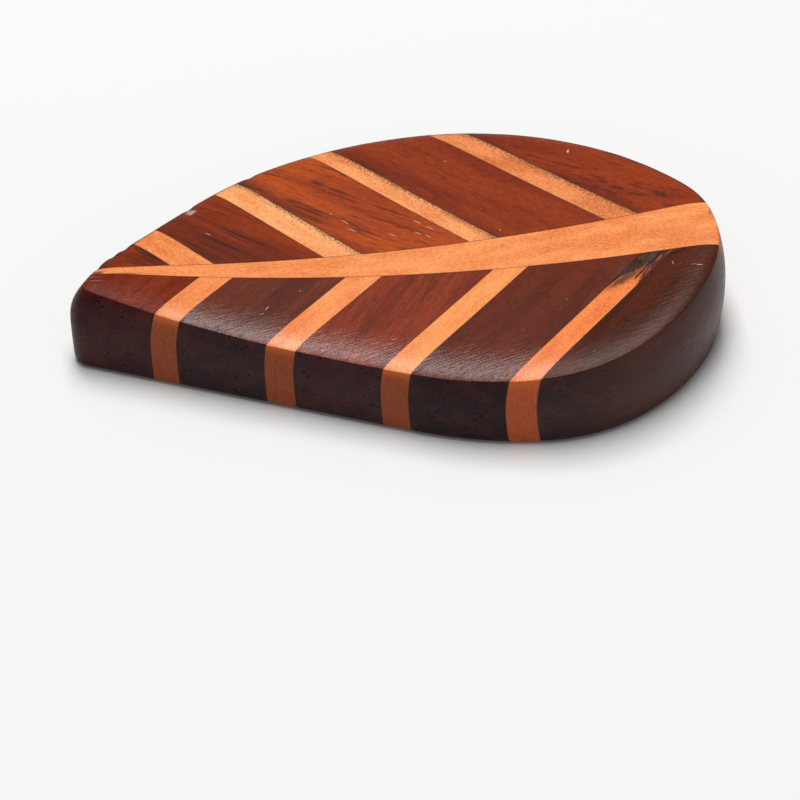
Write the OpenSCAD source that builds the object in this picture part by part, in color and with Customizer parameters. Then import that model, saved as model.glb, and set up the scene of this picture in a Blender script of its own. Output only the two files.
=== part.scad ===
// Leaf-shaped chopstick rest, laminated from strips of two woods and then shaped as one block.
// X runs from the nose of the leaf to its stalk end, Y to the far half, Z up from the table.
// The nose is at X = -length / 2 and the underside is at Z = 0.

/* [Overall] */
// Overall length from the nose to the stalk end, mm
length = 47; // [40:0.5:60]
// Overall width across the belly, mm
width = 26; // [22:0.5:32]

/* [Leaf outline] */
// Lean of the blunt nose, whose corner is on the near side, towards the far flank, degrees
nose_lean = 33; // [28:0.5:36]
// Turn of the corner of the nose on the near side, degrees
nose_near_turn = 104.5; // [101:0.5:107]
// Radius of the corner of the nose, mm
nose_near_radius = 1.25; // [1.2:0.05:2]
// Turn of the near belly, degrees
near_belly_turn = 17.5; // [14:0.5:20]
// Radius of the near belly, mm
near_belly_radius = 30.2; // [26:0.1:34]
// Turn of the near shoulder, degrees
near_shoulder_turn = 59.5; // [56:0.5:63]
// Radius of the near shoulder, mm
near_shoulder_radius = 14; // [12.5:0.1:15.5]
// Turn of the round stalk end, degrees
stalk_end_turn = 74; // [71:0.5:77]
// Radius of the round stalk end, mm
stalk_end_radius = 7.8; // [7:0.1:10]
// Turn of the far shoulder, degrees
far_shoulder_turn = 50; // [47:0.5:52]
// Radius of the far shoulder, mm
far_shoulder_radius = 24.9; // [23.8:0.1:25.9]
// Turn of the far flank, degrees
far_flank_turn = 34; // [32:0.5:37]
// Radius of the far flank, mm
far_flank_radius = 28.2; // [26.5:0.1:29.5]
// Radius of the blunt nose on the far side, mm
nose_far_radius = 10.7; // [8:0.1:13]

/* [Top and wall] */
// Height of the top at the lowest point of the dip, mm
dip_height = 6.4; // [5:0.1:9]
// Distance from the nose to the lowest point of the dip, as a share of the length
dip_share = 0.4225; // [0.36:0.0025:0.5]
// Radius of the lengthwise hollow that carries the chopsticks, mm
dip_radius = 132; // [100:1:200]
// Fall of the top from the middle to the widest part of the rim, mm
crown_drop = 0.15; // [0:0.05:0.6]
// Fall of the softly rounded border at the rim itself, mm
border_drop = 0.38; // [0.1:0.02:0.6]
// Distance inward over which the border's fall fades, mm
border_fade = 0.85; // [0.5:0.05:1.4]
// How far the rim lies inside the wall's fullest outline near the nose, mm
rim_inset = 0.24; // [0.1:0.02:0.3]
// How far the rim lies inside the wall's fullest outline at the stalk end, mm
stalk_rim_inset = 0.47; // [0.1:0.01:0.8]
// How much further the rim is drawn in at the nose, mm
nose_draw = 0.78; // [0:0.02:0.84]
// Distance from the nose over which that drawing in fades, mm
nose_fade = 14.6; // [8:0.1:20]
// How far the wall just above the foot lies inside the fullest outline near the nose, mm
foot_inset = 0.1; // [0:0.01:0.3]
// How far the wall just above the foot lies inside the fullest outline at the stalk end, mm
stalk_foot_inset = 0.5; // [0:0.02:0.7]
// Radius of the rounded lower edge, mm
foot_radius = 0.6; // [0.3:0.05:1]

/* [Midrib] */
// Width of the midrib at the nose, mm
midrib_nose_width = 0.4; // [0.3:0.05:1]
// Width of the midrib at the stalk end, mm
midrib_stalk_width = 4.45; // [3:0.05:6]
// Offset of the midrib from the middle of the width, mm
midrib_offset = -0.36; // [-0.8:0.02:0.4]

/* [Far strips] */
// Angle of the far strips to the midrib, degrees
far_strip_angle = 42.3; // [38:0.1:48]
// Distance from the nose to the first far strip on the midrib's centre line, as a share of the length
far_strip_1_share = 0.169; // [0.145:0.001:0.19]
// Width of the first far strip, mm
far_strip_1_width = 2.2; // [1.2:0.05:3]
// Distance from the nose to the second far strip, as a share of the length
far_strip_2_share = 0.414; // [0.37:0.001:0.45]
// Width of the second far strip, mm
far_strip_2_width = 1.95; // [1.2:0.05:3]
// Distance from the nose to the third far strip, as a share of the length
far_strip_3_share = 0.647; // [0.605:0.001:0.685]
// Width of the third far strip, mm
far_strip_3_width = 1.45; // [1:0.05:2.5]
// Distance from the nose to the fourth far strip, as a share of the length
far_strip_4_share = 0.866; // [0.83:0.001:0.89]
// Width of the fourth far strip, mm
far_strip_4_width = 1.65; // [1:0.05:2.5]

/* [Near strips] */
// Angle of the near strips to the midrib, degrees
near_strip_angle = 45; // [41:0.5:48]
// Distance from the nose to the first near strip on the midrib's centre line, as a share of the length
near_strip_1_share = 0.213; // [0.19:0.001:0.235]
// Width of the first near strip, mm
near_strip_1_width = 1.75; // [1:0.05:2.5]
// Distance from the nose to the second near strip, as a share of the length
near_strip_2_share = 0.444; // [0.4:0.001:0.47]
// Width of the second near strip, mm
near_strip_2_width = 1.95; // [1.2:0.05:2.5]
// Distance from the nose to the third near strip, as a share of the length
near_strip_3_share = 0.678; // [0.635:0.001:0.705]
// Width of the third near strip, mm
near_strip_3_width = 1.85; // [1.2:0.05:2.5]
// Distance from the nose to the fourth near strip, as a share of the length
near_strip_4_share = 0.914; // [0.875:0.001:0.925]
// Width of the fourth near strip, mm
near_strip_4_width = 1.7; // [1.2:0.05:2.2]

/* [Filler] */
// Length of the filler along the fourth near strip, mm
filler_length = 3.9; // [2.5:0.1:5]
// Width of the filler along the midrib, mm
filler_width = 1.35; // [0.8:0.05:1.6]
// Depth of the filler below the top of the strip, mm
filler_depth = 2; // [1:0.1:3]

/* [Hidden] */

light_wood = [0.87, 0.56, 0.33];
rosewood = [0.40, 0.17, 0.11];
dark_filler = [0.22, 0.18, 0.14];

// Length of one facet along the outline at most, mm, and its turn at most, degrees
facet_length = 2;
facet_turn = 6;

// How far the cutting prisms reach past the block, and how deep the shell goes below the table, mm
reach = length + width;
skirt = width / 20;

// Headings of the outline's travel, anticlockwise from above, starting at the corner of the nose
start_heading = -90 - nose_lean;
near_flank_heading = start_heading + nose_near_turn;
stalk_heading = near_flank_heading + near_belly_turn + near_shoulder_turn;
stalk_near_turn = 90 - stalk_heading;
far_flank_heading = stalk_heading + stalk_end_turn + far_shoulder_turn + far_flank_turn;
nose_far_turn = 360 + start_heading - far_flank_heading;

function heading_vector(h) = [cos(h), sin(h)];
function arc_vector(h, turn, radius) = radius * [sin(h + turn) - sin(h), cos(h) - cos(h + turn)];
function arc_steps(turn, radius) = ceil(max(turn / facet_turn, radius * turn * PI / 180 / facet_length));

// Arcs of the outline in order, each as turn and radius, with the straight flanks as turn 0
near_arcs = [
    [nose_near_turn, nose_near_radius],
    [0, 0],
    [near_belly_turn, near_belly_radius],
    [near_shoulder_turn, near_shoulder_radius],
    [stalk_near_turn, stalk_end_radius]
];
far_arcs = [
    [stalk_end_turn - stalk_near_turn, stalk_end_radius],
    [far_shoulder_turn, far_shoulder_radius],
    [far_flank_turn, far_flank_radius],
    [0, 0],
    [nose_far_turn, nose_far_radius]
];
arcs = concat(near_arcs, far_arcs);
near_straight = 1;
far_straight = len(near_arcs) + 3;

headings = [for (i = 0, h = start_heading; i < len(arcs); h = h + arcs[i][0], i = i + 1) h];
arc_sum = [for (i = [0 : len(arcs) - 1]) arc_vector(headings[i], arcs[i][0], arcs[i][1])] ;
gap = -[for (i = [0 : len(arcs) - 1]) 1] * arc_sum;

// The two straight flanks are as long as the closed outline needs
near_way = heading_vector(near_flank_heading);
far_way = heading_vector(far_flank_heading);
ways_cross = near_way[0] * far_way[1] - near_way[1] * far_way[0];
near_straight_length = (gap[0] * far_way[1] - gap[1] * far_way[0]) / ways_cross;
far_straight_length = (near_way[0] * gap[1] - near_way[1] * gap[0]) / ways_cross;

// Both halves of the outline get the same number of facets, so that the top can be closed across
function sum(list) = len(list) == 0 ? 0 : [for (v = list) 1] * list;
near_steps = [for (a = near_arcs) a[0] == 0 ? ceil(near_straight_length / facet_length)
                                            : arc_steps(a[0], a[1])];
far_arc_steps = [for (a = far_arcs) a[0] == 0 ? 0 : arc_steps(a[0], a[1])];
far_steps = [for (i = [0 : len(far_arcs) - 1]) far_arcs[i][0] == 0 ? sum(near_steps) - sum(far_arc_steps)
                                                                   : far_arc_steps[i]];
steps = concat(near_steps, far_steps);
half_count = sum(near_steps);
ring_size = sum(steps);

function piece_vector(i, share) = i == near_straight ? near_way * near_straight_length * share
    : i == far_straight ? far_way * far_straight_length * share
    : arc_vector(headings[i], arcs[i][0] * share, arcs[i][1]);
starts = [for (i = 0, p = [0, 0]; i < len(arcs); p = p + piece_vector(i, 1), i = i + 1) p];
raw_outline = [for (i = [0 : len(arcs) - 1], k = [0 : steps[i] - 1])
    starts[i] + piece_vector(i, k / steps[i])];
raw_heading = [for (i = [0 : len(arcs) - 1], k = [0 : steps[i] - 1])
    headings[i] + arcs[i][0] * k / steps[i]];

// The raw outline is fitted to the length and width and centred: it is the wall at its fullest
low = [min([for (p = raw_outline) p[0]]), min([for (p = raw_outline) p[1]])];
high = [max([for (p = raw_outline) p[0]]), max([for (p = raw_outline) p[1]])];
fit = [length / (high[0] - low[0]), width / (high[1] - low[1])];
outline = [for (p = raw_outline) [(p[0] - (low[0] + high[0]) / 2) * fit[0],
                                  (p[1] - (low[1] + high[1]) / 2) * fit[1]]];
outward = [for (h = raw_heading) let (n = [sin(h) * fit[1], -cos(h) * fit[0]]) n / norm(n)];

// The rim lies inside the outline all round, more so towards the stalk end and at the very nose
function nose_pull(x) = nose_draw * pow(max(0, 1 - (x + length / 2) / nose_fade), 2);
function rim_depth(x) = rim_inset + (stalk_rim_inset - rim_inset) * pow(x / length + 1 / 2, 2);
rim = [for (k = [0 : ring_size - 1])
    outline[k] - outward[k] * (rim_depth(outline[k][0]) + nose_pull(outline[k][0]))];

// The top is spanned from the rim to a short line along the middle
spine_shares = [0.6, 0.12];
function to_spine(p) = [p[0] * (spine_shares[0] - 1), p[1] * (spine_shares[1] - 1)];

// Height of the top before the border falls away
dip_x = (dip_share - 1 / 2) * length;
function hollow(x) = dip_height + dip_radius - sqrt(pow(dip_radius, 2) - pow(x - dip_x, 2));
function crown(y) = crown_drop * pow((y - midrib_offset) / (width / 2), 2);
function top_height(x, y, inset) = hollow(x) - crown(y) - border_drop * exp(-inset / border_fade);

// Side wall: fullest at a share of its height, and drawn in towards the rim and the foot
fullest_share = 0.55;
function wall_lean(share) = pow(max(0, share - fullest_share) / (1 - fullest_share), 2);
function foot_depth(x) = foot_inset + (stalk_foot_inset - foot_inset) * pow(x / length + 1 / 2, 4);
function foot_part(share) = pow(max(0, fullest_share - share) / fullest_share, 2);
wall_shares = [0, 0.2, 0.4, fullest_share, 0.7, 0.83, 0.93];
foot_angles = [80, 55, 28];

// Rings of the shell from below the table up the wall and over the border to the middle
border_insets = [0, 0.15, 0.35, 0.65, 1.05] * border_fade;
middle_shares = [0.26, 0.45, 0.7, 1];

function rim_height(k) = top_height(rim[k][0], rim[k][1], 0);
function out_point(k, inset, part, lean, z) = let (
    p = (outline[k] - outward[k] * (inset + part * foot_depth(outline[k][0]))) * (1 - lean) + rim[k] * lean
) [p[0], p[1], z];
function spine_way(k) = to_spine(rim[k]);
function spine_lean(k) = -(spine_way(k) * outward[k]) / norm(spine_way(k));
function in_point(k, travel) = let (
    p = rim[k] + spine_way(k) / norm(spine_way(k)) * travel
) [p[0], p[1], top_height(p[0], p[1], travel * spine_lean(k))];

skirt_ring = [for (k = [0 : ring_size - 1]) out_point(k, foot_radius, 1, 0, -skirt)];
foot_rings = [for (a = foot_angles, k = [0 : ring_size - 1])
    out_point(k, foot_radius * (1 - cos(a)), 1, 0, foot_radius * (1 - sin(a)))];
wall_rings = [for (s = wall_shares, k = [0 : ring_size - 1])
    out_point(k, 0, foot_part(s), wall_lean(s), foot_radius + (rim_height(k) - foot_radius) * s)];
border_rings = [for (d = border_insets, k = [0 : ring_size - 1]) in_point(k, d / spine_lean(k))];
middle_rings = [for (s = middle_shares, k = [0 : ring_size - 1]) in_point(k, s * norm(spine_way(k)))];
shell_points = concat(skirt_ring, foot_rings, wall_rings, border_rings, middle_rings);
ring_count = len(shell_points) / ring_size;
top_start = ring_size * (ring_count - 1);

function near_index(i) = top_start + i;
function far_index(i) = top_start + (ring_size - i) % ring_size;
shell_faces = concat(
    [[for (k = [0 : ring_size - 1]) k]],
    [for (r = [0 : ring_count - 2], k = [0 : ring_size - 1]) let (j = (k + 1) % ring_size)
        [r * ring_size + k, (r + 1) * ring_size + k, (r + 1) * ring_size + j]],
    [for (r = [0 : ring_count - 2], k = [0 : ring_size - 1]) let (j = (k + 1) % ring_size)
        [r * ring_size + k, (r + 1) * ring_size + j, r * ring_size + j]],
    [for (i = [1 : half_count - 1]) [near_index(i), far_index(i), far_index(i + 1)]],
    [for (i = [0 : half_count - 2]) [near_index(i), far_index(i + 1), near_index(i + 1)]]
);

// Outer shape of the whole leaf, from which every piece is cut
module leaf_shell() {
    polyhedron(points = shell_points, faces = shell_faces, convexity = 4);
}

// Half the midrib's width at a place along the length, measured from the nose
function midrib_half(place) = (midrib_nose_width
    + (midrib_stalk_width - midrib_nose_width) * place / length) / 2;
midrib_taper = (midrib_stalk_width - midrib_nose_width) / length / 2;

// Where a cut that crosses the midrib's centre line at this place meets the midrib's edge
function edge_run(place, angle) = midrib_half(place) / (tan(angle) + midrib_taper);
function edge_point(place, angle, side) = let (
    run = edge_run(place, angle)
) [place - run - length / 2, midrib_offset + side * run * tan(angle)];
function outer_point(place, angle, side) = edge_point(place, angle, side)
    + reach * [-cos(angle), side * sin(angle)];
function cut_end(place, strip_width, angle) = place + strip_width / sin(angle);

// A slice of one half, between two cuts at the same angle
module slice(from, to, angle, side) {
    intersection() {
        leaf_shell();
        linear_extrude(height = reach)
            polygon([
                edge_point(from, angle, side),
                edge_point(to, angle, side),
                outer_point(to, angle, side),
                outer_point(from, angle, side)
            ]);
    }
}

module far_slice(from, to) {
    slice(from, to, far_strip_angle, 1);
}

module near_slice(from, to) {
    slice(from, to, near_strip_angle, -1);
}

// Places on the midrib's centre line where the strips start
far_strip_1_place = far_strip_1_share * length;
far_strip_2_place = far_strip_2_share * length;
far_strip_3_place = far_strip_3_share * length;
far_strip_4_place = far_strip_4_share * length;
near_strip_1_place = near_strip_1_share * length;
near_strip_2_place = near_strip_2_share * length;
near_strip_3_place = near_strip_3_share * length;
near_strip_4_place = near_strip_4_share * length;

// Places on the midrib's centre line where the strips end
far_end_1 = cut_end(far_strip_1_place, far_strip_1_width, far_strip_angle);
far_end_2 = cut_end(far_strip_2_place, far_strip_2_width, far_strip_angle);
far_end_3 = cut_end(far_strip_3_place, far_strip_3_width, far_strip_angle);
far_end_4 = cut_end(far_strip_4_place, far_strip_4_width, far_strip_angle);
near_end_1 = cut_end(near_strip_1_place, near_strip_1_width, near_strip_angle);
near_end_2 = cut_end(near_strip_2_place, near_strip_2_width, near_strip_angle);
near_end_3 = cut_end(near_strip_3_place, near_strip_3_width, near_strip_angle);
near_end_4 = cut_end(near_strip_4_place, near_strip_4_width, near_strip_angle);

// Tapered light strip along the middle, through the full thickness
module midrib() {
    color(light_wood)
        intersection() {
            leaf_shell();
            linear_extrude(height = reach)
                polygon([
                    [-length / 2, midrib_offset - midrib_half(0)],
                    [length, midrib_offset - midrib_half(length * 3 / 2)],
                    [length, midrib_offset + midrib_half(length * 3 / 2)],
                    [-length / 2, midrib_offset + midrib_half(0)]
                ]);
        }
}

module far_strip_1() {
    color(light_wood)
        far_slice(far_strip_1_place, far_end_1);
}

module far_strip_2() {
    color(light_wood)
        far_slice(far_strip_2_place, far_end_2);
}

module far_strip_3() {
    color(light_wood)
        far_slice(far_strip_3_place, far_end_3);
}

module far_strip_4() {
    color(light_wood)
        far_slice(far_strip_4_place, far_end_4);
}

module near_strip_1() {
    color(light_wood)
        near_slice(near_strip_1_place, near_end_1);
}

module near_strip_2() {
    color(light_wood)
        near_slice(near_strip_2_place, near_end_2);
}

module near_strip_3() {
    color(light_wood)
        near_slice(near_strip_3_place, near_end_3);
}

// The last near strip gives way to the filler at its inner end
module near_strip_4() {
    color(light_wood)
        difference() {
            near_slice(near_strip_4_place, near_end_4);
            filler_cut();
        }
}

module far_panel_1() {
    color(rosewood)
        far_slice(0, far_strip_1_place);
}

module far_panel_2() {
    color(rosewood)
        far_slice(far_end_1, far_strip_2_place);
}

module far_panel_3() {
    color(rosewood)
        far_slice(far_end_2, far_strip_3_place);
}

module far_panel_4() {
    color(rosewood)
        far_slice(far_end_3, far_strip_4_place);
}

module far_panel_5() {
    color(rosewood)
        far_slice(far_end_4, reach);
}

module near_panel_1() {
    color(rosewood)
        near_slice(0, near_strip_1_place);
}

module near_panel_2() {
    color(rosewood)
        near_slice(near_end_1, near_strip_2_place);
}

module near_panel_3() {
    color(rosewood)
        near_slice(near_end_2, near_strip_3_place);
}

module near_panel_4() {
    color(rosewood)
        near_slice(near_end_3, near_strip_4_place);
}

module near_panel_5() {
    color(rosewood)
        near_slice(near_end_4, reach);
}

// The filler is the corner of the strip beyond a line from its edge to the midrib, open at the top
filler_corner = edge_point(near_strip_4_place, near_strip_angle, -1);
filler_tail = filler_corner - filler_length * heading_vector(near_strip_angle);
filler_head = filler_corner + filler_width * [1, -midrib_taper] / norm([1, midrib_taper]);
filler_floor = hollow(filler_corner[0]) - filler_depth;
filler_way = (filler_head - filler_tail) / norm(filler_head - filler_tail);
filler_side = [-filler_way[1], filler_way[0]];

module filler_cut() {
    translate([0, 0, filler_floor])
        linear_extrude(height = reach)
            polygon([
                filler_tail - filler_way * reach,
                filler_head + filler_way * reach,
                filler_head + (filler_way + filler_side) * reach,
                filler_tail + (filler_side - filler_way) * reach
            ]);
}

module filler_plug() {
    color(dark_filler)
        intersection() {
            near_slice(near_strip_4_place, near_end_4);
            filler_cut();
        }
}

midrib();
far_strip_1();
far_strip_2();
far_strip_3();
far_strip_4();
near_strip_1();
near_strip_2();
near_strip_3();
near_strip_4();
far_panel_1();
far_panel_2();
far_panel_3();
far_panel_4();
far_panel_5();
near_panel_1();
near_panel_2();
near_panel_3();
near_panel_4();
near_panel_5();
filler_plug();
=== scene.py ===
"""Leaf-shaped chopstick rest, laminated from rosewood and lotus wood and then shaped as one block.

Every lamination is a closed loft: plan lines run from the midrib to the rim, and each of them carries one
section of the block, from the underside round the wall and over the border to the top. Lengths are
millimetres; only what is written into a mesh, a material's coordinates, the lamp and the table are metres.
The axes are those of the frame: X from the nose to the stalk end, Y to the far half, Z up from the table.
"""

import functools
import logging
import math
from dataclasses import dataclass, field
from enum import Enum
from typing import Any, Callable, ClassVar

import bmesh
import bpy
import numpy as np
from mathutils import Matrix, Vector

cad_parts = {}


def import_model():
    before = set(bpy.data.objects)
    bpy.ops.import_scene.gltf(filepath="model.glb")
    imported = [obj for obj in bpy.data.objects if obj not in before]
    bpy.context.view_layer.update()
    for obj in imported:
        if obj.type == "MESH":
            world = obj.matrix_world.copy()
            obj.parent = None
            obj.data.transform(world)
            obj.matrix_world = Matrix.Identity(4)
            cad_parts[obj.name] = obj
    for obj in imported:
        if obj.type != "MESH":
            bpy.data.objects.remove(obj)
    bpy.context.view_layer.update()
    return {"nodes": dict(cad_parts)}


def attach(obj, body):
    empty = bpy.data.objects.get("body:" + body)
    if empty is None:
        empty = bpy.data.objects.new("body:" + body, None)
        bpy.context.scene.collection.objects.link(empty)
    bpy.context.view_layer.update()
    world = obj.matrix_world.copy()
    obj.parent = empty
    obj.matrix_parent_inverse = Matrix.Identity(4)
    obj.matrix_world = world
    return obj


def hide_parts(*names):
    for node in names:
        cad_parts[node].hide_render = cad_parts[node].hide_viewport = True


LOG = logging.getLogger("chopstick_rest")
MM = 0.001
LENGTH = 47.0
WIDTH = 26.0
MIDDLE = -0.36  # Y of the midrib's centre line, along which the crown of the top is highest
NO_JOINT = 99.0  # distance written for a joint that a piece doesn't have
INNER = 9.0  # inset from the rim at which the border's fall is over
POCKET_RIM = 5.0  # distance from the rim written for the filler and its pocket
STRAIGHT = (0.0, 0.0)
SMOOTH = {"interpolation_type": "SMOOTHSTEP"}
TIMES = {"operation": "MULTIPLY"}
TIMES_PLUS = {"operation": "MULTIPLY_ADD"}

Arc = tuple[float, float]
Triple = tuple[float, float, float]
Array = np.ndarray
Socket = bpy.types.NodeSocket


class Slot(Enum):
    """Material slots of the record that a lamination can take its finish from."""

    LOTUS = "lotus_wood"
    ROSEWOOD = "rosewood"
    FILLER = "wood_filler"


class Half(Enum):
    """Half of the leaf, as the sign of Y seen from the midrib."""

    FAR = 1
    NEAR = -1


class End(Enum):
    """End of the leaf, as the sign of X."""

    NOSE = -1
    STALK = 1


def linear(code: str) -> tuple[float, float, float, float]:
    """Turns an sRGB hex colour into linear light.

    Args:
        code: Six hex digits, red first.

    Returns:
        Red, green, blue and alpha, linear.
    """
    shares = [int(code[i:i + 2], 16) / 255 for i in (0, 2, 4)]
    light = [c / 12.92 if c <= 0.04045 else ((c + 0.055) / 1.055) ** 2.4 for c in shares]
    return light[0], light[1], light[2], 1.0


def placed(name: str, data: bpy.types.ID) -> bpy.types.Object:
    """Puts a new mesh, lamp or camera into the scene.

    Args:
        name: Name of the object.
        data: What it shows.

    Returns:
        The object.
    """
    made = bpy.data.objects.new(name, data)
    bpy.context.scene.collection.objects.link(made)
    return made


@dataclass(frozen=True)
class PlanLine:
    """The wall's fullest outline seen from above, finely sampled, and the rim inside it."""

    full: Array
    outward: Array
    rim: Array
    foot_depth: Array

    def ring(self, inset: float, part: float, lean: float) -> Array:
        """A line round the wall.

        Args:
            inset: Distance inward from the outline.
            part: Share of the foot's own depth that is added to it.
            lean: Share by which the line is then brought towards the rim.

        Returns:
            The line's points.
        """
        depth = inset + part * self.foot_depth
        return (self.full - self.outward * depth[:, None]) * (1 - lean) + self.rim * lean


@dataclass(frozen=True)
class Outline:
    """Outline of the leaf: a closed chain of tangent arcs with two straight flanks.

    Arcs are a turn in degrees and a radius. A wave is its share, how often it goes round, and its phase.
    """

    nose_lean: float = 33.0
    nose_near: Arc = (104.5, 1.25)
    near_belly: Arc = (17.5, 30.2)
    near_shoulder: Arc = (59.5, 14.0)
    stalk_end: Arc = (74.0, 7.8)
    far_shoulder: Arc = (50.0, 24.9)
    far_flank: Arc = (34.0, 28.2)
    nose_far_radius: float = 10.7
    rim_inset: float = 0.24
    stalk_rim_inset: float = 0.47
    nose_draw: float = 0.78
    nose_fade: float = 14.6
    foot_inset: float = 0.1
    stalk_foot_inset: float = 0.5
    sample_step: float = 0.03
    sanding_wave: float = 0.02
    wave_level: float = 1.5
    waves: tuple[Triple, ...] = ((1.0, 5, 0.7), (0.5, 17, 2.9), (0.3, 41, 0.0))
    nick_depth: float = 0.09
    nick_width: float = 0.35
    nicks_from_nose: tuple[float, ...] = (2.2, 3.9, 5.1, 11.3, 16.9)

    def chain(self) -> list[Arc]:
        """Arcs and flanks, anticlockwise from the corner of the nose; the last arc turns by what is left."""
        arcs = [self.nose_near, STRAIGHT, self.near_belly, self.near_shoulder, self.stalk_end,
                self.far_shoulder, self.far_flank, STRAIGHT]
        return [*arcs, (360.0 - sum(turn for turn, _ in arcs), self.nose_far_radius)]

    def trace(self) -> PlanLine:
        """Samples the outline and the rim.

        An arc of radius r from heading h over turn t moves by r (sin(h + t) - sin h, cos h - cos(h + t)).
        The two straights are as long as closing the chain needs, and the closed line is then fitted to
        the length and width. The rim lies inside it, by a depth that grows from rim_inset with the square
        of the place along the length to stalk_rim_inset, and by nose_draw (1 - distance from the nose /
        nose_fade)^2 more at the nose. Hand sanding leaves the rim a few hundredths of a millimetre inside
        that line, by a sum of slow sines and some small nicks. The depth of the foot grows with the fourth
        power of the place.

        Returns:
            The outline, its outward directions, the rim and the depth of the foot.
        """
        turns, radii = np.array(self.chain()).T
        turns = np.radians(turns)
        heads = math.radians(-90.0 - self.nose_lean) + np.concatenate([[0.0], np.cumsum(turns)[:-1]])
        moves = radii[:, None] * np.stack([np.sin(heads + turns) - np.sin(heads),
                                           np.cos(heads) - np.cos(heads + turns)], 1)
        flats = [i for i, radius in enumerate(radii) if radius == 0.0]
        ways = np.stack([np.cos(heads[flats]), np.sin(heads[flats])], 1)
        flat_lengths = np.linalg.solve(ways.T, -moves.sum(0))
        parts, tilts, start = [], [], np.zeros(2)
        for i, (turn, radius, head) in enumerate(zip(turns, radii, heads)):
            flat = flat_lengths[flats.index(i)] if i in flats else 0.0
            count = math.ceil((radius * turn + flat) / self.sample_step)
            share = np.arange(count) / count
            part = radius * np.stack([np.sin(head + turn * share) - np.sin(head),
                                      np.cos(head) - np.cos(head + turn * share)], 1)
            ahead = flat * np.array([np.cos(head), np.sin(head)])
            parts.append(start + part + share[:, None] * ahead)
            tilts.append(head + turn * share)
            start = start + moves[i] + ahead
        points, tilt = np.concatenate(parts), np.concatenate(tilts)
        low, high = points.min(0), points.max(0)
        fit = np.array([LENGTH, WIDTH]) / (high - low)
        points = (points - (low + high) / 2) * fit
        outward = np.stack([np.sin(tilt) * fit[1], -np.cos(tilt) * fit[0]], 1)
        outward /= np.linalg.norm(outward, axis=1, keepdims=True)
        steps = np.linalg.norm(np.diff(points, axis=0, append=points[:1]), axis=1)
        run = np.cumsum(steps) - steps
        whole = steps.sum()
        wave = self.wave_level
        for share, count, phase in self.waves:
            wave = wave + share * np.sin(count * (2 * np.pi * run / whole) + phase)
        inward = self.sanding_wave * np.clip(wave, 0, None) / 2
        for nick in self.nicks_from_nose:
            inward = inward + self.nick_depth * np.exp(-((run - (whole - nick)) / self.nick_width) ** 2)
        place = points[:, 0] + LENGTH / 2
        growth = (self.stalk_rim_inset - self.rim_inset) * (place / LENGTH) ** 2
        draw = self.nose_draw * np.clip(1 - place / self.nose_fade, 0, None) ** 2
        rim = points - outward * (self.rim_inset + growth + draw + inward)[:, None]
        foot_depth = self.foot_inset + (self.stalk_foot_inset - self.foot_inset) * (place / LENGTH) ** 4
        return PlanLine(points, outward, rim, foot_depth)


@dataclass(frozen=True)
class Section:
    """Points of sections on a grid of plan lines by places round the section, with what the finish reads.

    rim is the distance inward from the rim on the top, and the depth below the rim, negative, elsewhere.
    """

    points: Array
    rim: Array

    def joined(self, other: "Section") -> "Section":
        """This section followed by another on the same plan lines."""
        return Section(np.concatenate([self.points, other.points], 1),
                       np.concatenate([self.rim, other.rim], 1))


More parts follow.
